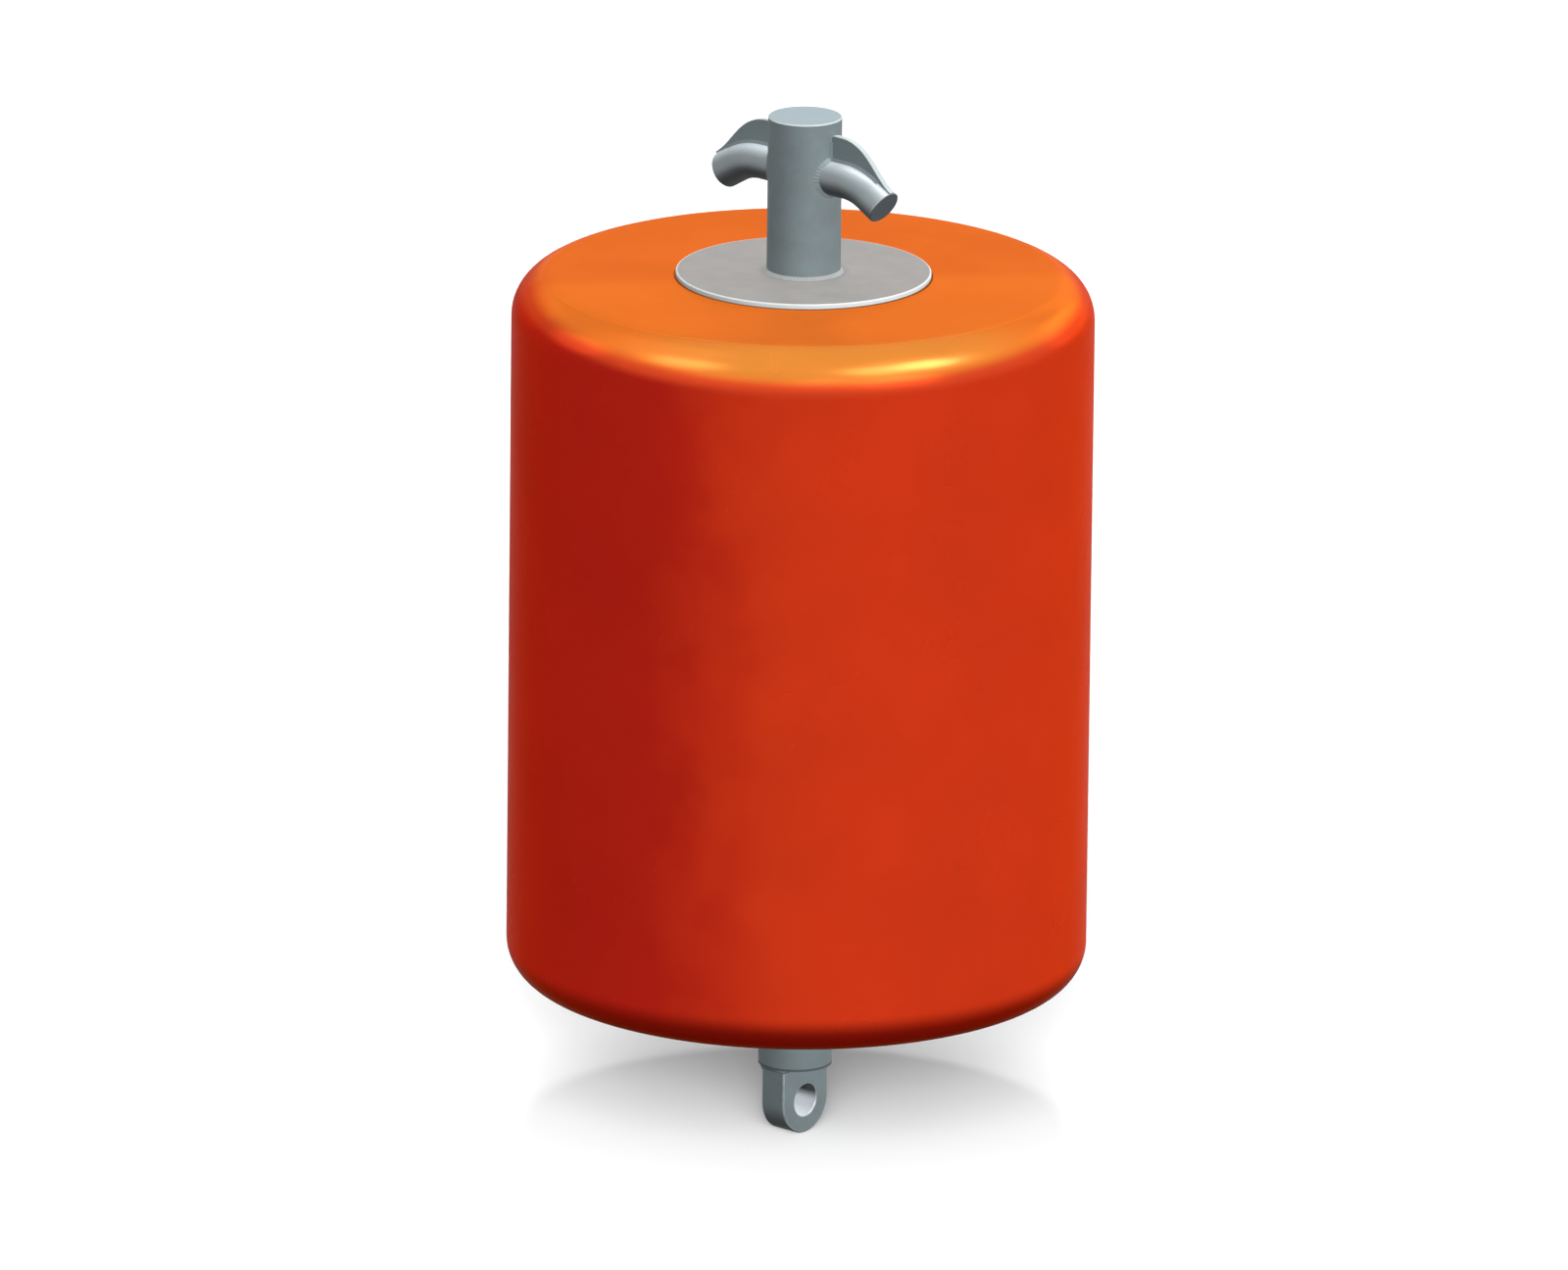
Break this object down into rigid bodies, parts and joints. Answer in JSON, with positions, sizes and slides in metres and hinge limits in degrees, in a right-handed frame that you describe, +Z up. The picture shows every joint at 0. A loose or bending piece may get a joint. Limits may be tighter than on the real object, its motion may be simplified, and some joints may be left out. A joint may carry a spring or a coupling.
{
  "type": "cylindrical mooring buoy",
  "caption": "Upright cylindrical mooring buoy: a foam-filled float on a steel tube, with bent horns and gussets above a flange, and a bored padeye below.",
  "frame": {"origin": "centre of the padeye's bore, on the tube's axis", "axes": "+Z runs up the tube through the float; +X runs along the padeye's bore and along the right-hand horn; +Y completes the right-handed frame"},
  "size_m": [0.8998, 0.9, 1.632],
  "materials": {
    "float_skin": "satin",
    "tube_steel": "satin",
    "flange_steel": "matte",
    "horn_steel": "satin"
  },
  "bodies": {
    "root": {"float_body": "float_skin", "centre_tube": "tube_steel", "tube_top_cap": "tube_steel", "tube_bottom_cap": "tube_steel", "top_flange": "flange_steel", "bottom_flange": "flange_steel", "top_flange_weld": "tube_steel", "bottom_flange_weld": "tube_steel", "padeye": "tube_steel", "padeye_weld": "tube_steel", "right_horn": "horn_steel", "left_horn": "horn_steel", "right_gusset": "tube_steel", "left_gusset": "tube_steel", "right_horn_weld": "tube_steel", "left_horn_weld": "tube_steel", "right_gusset_weld": "tube_steel", "left_gusset_weld": "tube_steel"}
  },
  "joints": []
}
